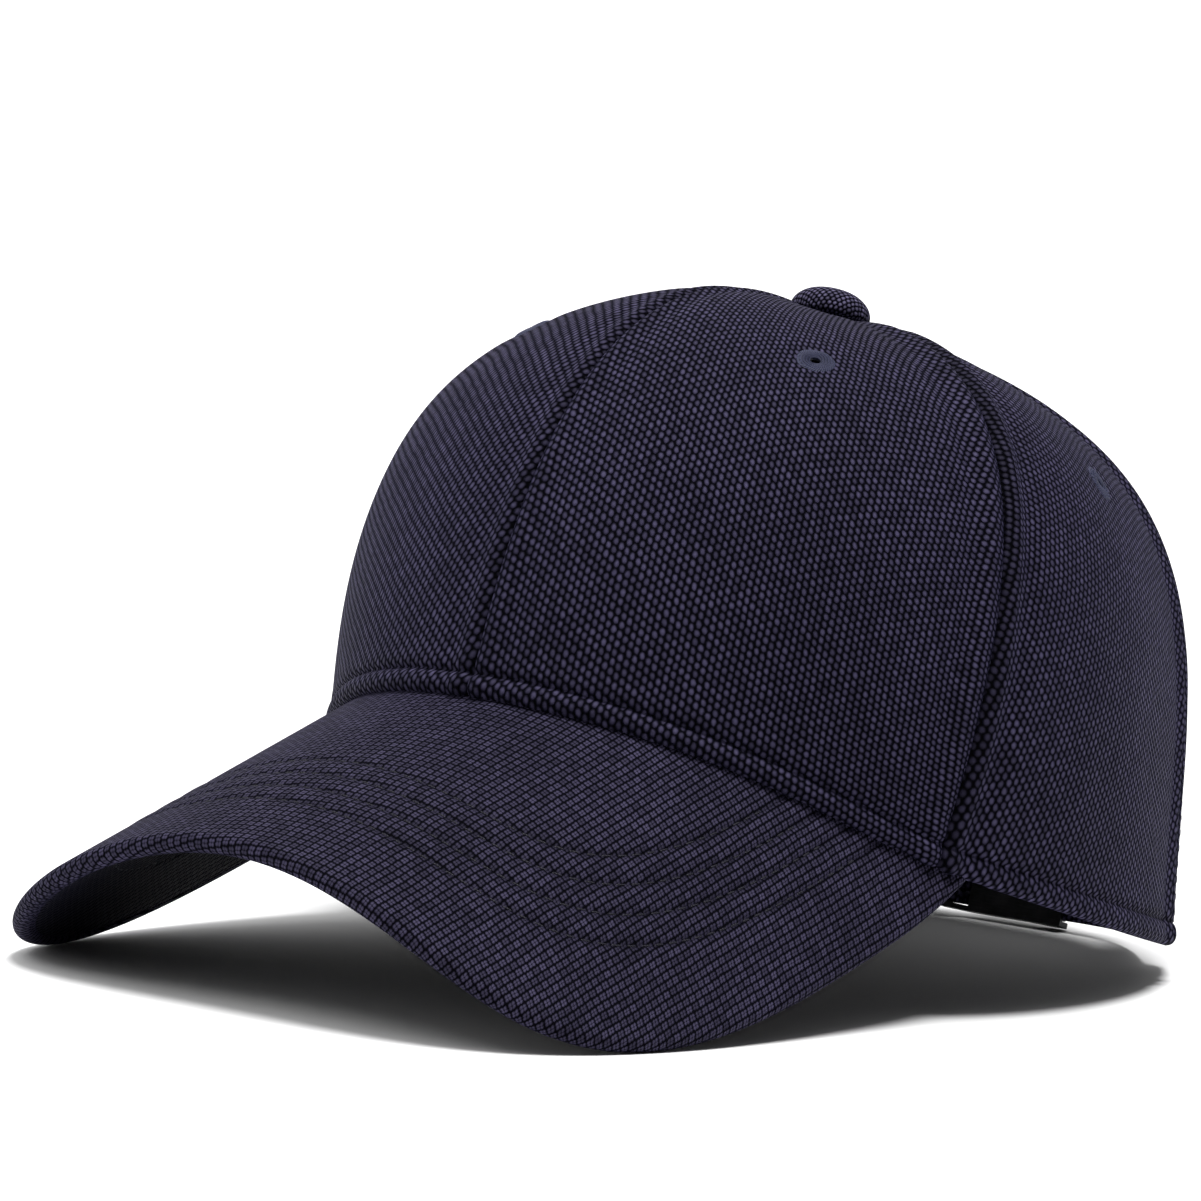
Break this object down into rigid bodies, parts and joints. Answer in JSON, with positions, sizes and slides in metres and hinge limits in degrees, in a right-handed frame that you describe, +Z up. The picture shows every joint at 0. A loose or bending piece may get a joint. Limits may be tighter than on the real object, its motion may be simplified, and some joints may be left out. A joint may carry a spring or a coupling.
{
  "type": "baseball cap",
  "caption": "Structured baseball cap with sewn crown panels, curved visor, covered top button, embroidered eyelets, inner sweatband and a rear strap with a flip-lever buckle.",
  "frame": {"origin": "centre of the footprint's bounding box on the table plane, under the cap", "axes": "+Z up, +Y from the visor toward the rear closure, +X to the wearer's left; the cap stands on its visor's two lobes and its rear strap, so its lower edge slopes 13.9 degrees"},
  "size_m": [0.1584, 0.2466, 0.1261],
  "materials": {
    "crown_fabric": "navy bead-knit polyester, matt with a soft sheen",
    "visor_fabric": "navy bead-knit polyester, matt with a soft sheen",
    "eyelet_thread": "navy embroidery thread, satin",
    "buckram": "charcoal open-weave stiffener, matt",
    "seam_tape": "dark woven cotton tape, matt",
    "button_metal": "zinc-plated pressed steel",
    "sweatband_cloth": "dark cotton twill over thin foam, matt",
    "visor_board": "polyethylene sheet",
    "binding_cloth": "dark folded cotton tape, matt",
    "strap_cloth": "navy self-fabric strap, matt",
    "buckle_metal": "black-finished steel, satin"
  },
  "bodies": {
    "cap": {"panel_front_left": "crown_fabric", "panel_front_right": "crown_fabric", "panel_side_left": "crown_fabric", "panel_side_right": "crown_fabric", "panel_rear_left": "crown_fabric", "panel_rear_right": "crown_fabric", "eyelet_front_left": "eyelet_thread", "eyelet_front_right": "eyelet_thread", "eyelet_side_left": "eyelet_thread", "eyelet_side_right": "eyelet_thread", "eyelet_rear_left": "eyelet_thread", "eyelet_rear_right": "eyelet_thread", "buckram_front_left": "buckram", "buckram_front_right": "buckram", "seam_tape_front": "seam_tape", "seam_tape_side_left": "seam_tape", "seam_tape_side_right": "seam_tape", "seam_tape_rear_left": "seam_tape", "seam_tape_rear_right": "seam_tape", "seam_tape_center": "seam_tape", "button_cover": "crown_fabric", "button_core": "button_metal", "button_backing": "button_metal", "sweatband": "sweatband_cloth", "visor_cover_top": "visor_fabric", "visor_board": "visor_board", "visor_cover_under": "visor_fabric", "opening_binding": "binding_cloth", "strap_tail": "strap_cloth", "strap_anchor": "strap_cloth", "buckle_frame": "buckle_metal", "buckle_pin": "buckle_metal"},
    "lever": {"buckle_lever": "buckle_metal"}
  },
  "joints": [
    {"name": "buckle_lever_flip", "type": "hinge", "parent": "cap", "child": "lever", "pos_m": [0.0095, 0.11887, 0.013], "axis": [0, -0.2402, -0.9707], "range_deg": [0, 105]}
  ]
}
